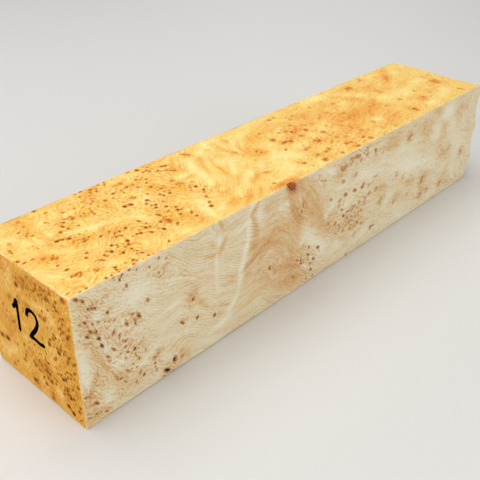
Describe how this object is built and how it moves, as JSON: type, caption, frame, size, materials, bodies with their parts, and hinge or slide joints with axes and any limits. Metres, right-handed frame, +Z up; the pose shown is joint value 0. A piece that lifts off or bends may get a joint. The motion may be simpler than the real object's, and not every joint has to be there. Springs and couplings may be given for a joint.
{
  "type": "burl turning blank",
  "caption": "Square-planed length of burl wood for turning on a lathe, full of small bud eyes and swirling grain, with one end sawn flat and the other left rough.",
  "frame": {"origin": "middle of the planed base, at the centre of the bounding box's bottom", "axes": "+X along the blank from the sawn end to the rough end, +Y across it, +Z up"},
  "size_m": [0.2474, 0.0508, 0.0508],
  "materials": {
    "burl_wood": "planed and finely sanded bare wood, satin"
  },
  "bodies": {
    "root": {"burl_blank": "burl_wood"}
  },
  "joints": []
}
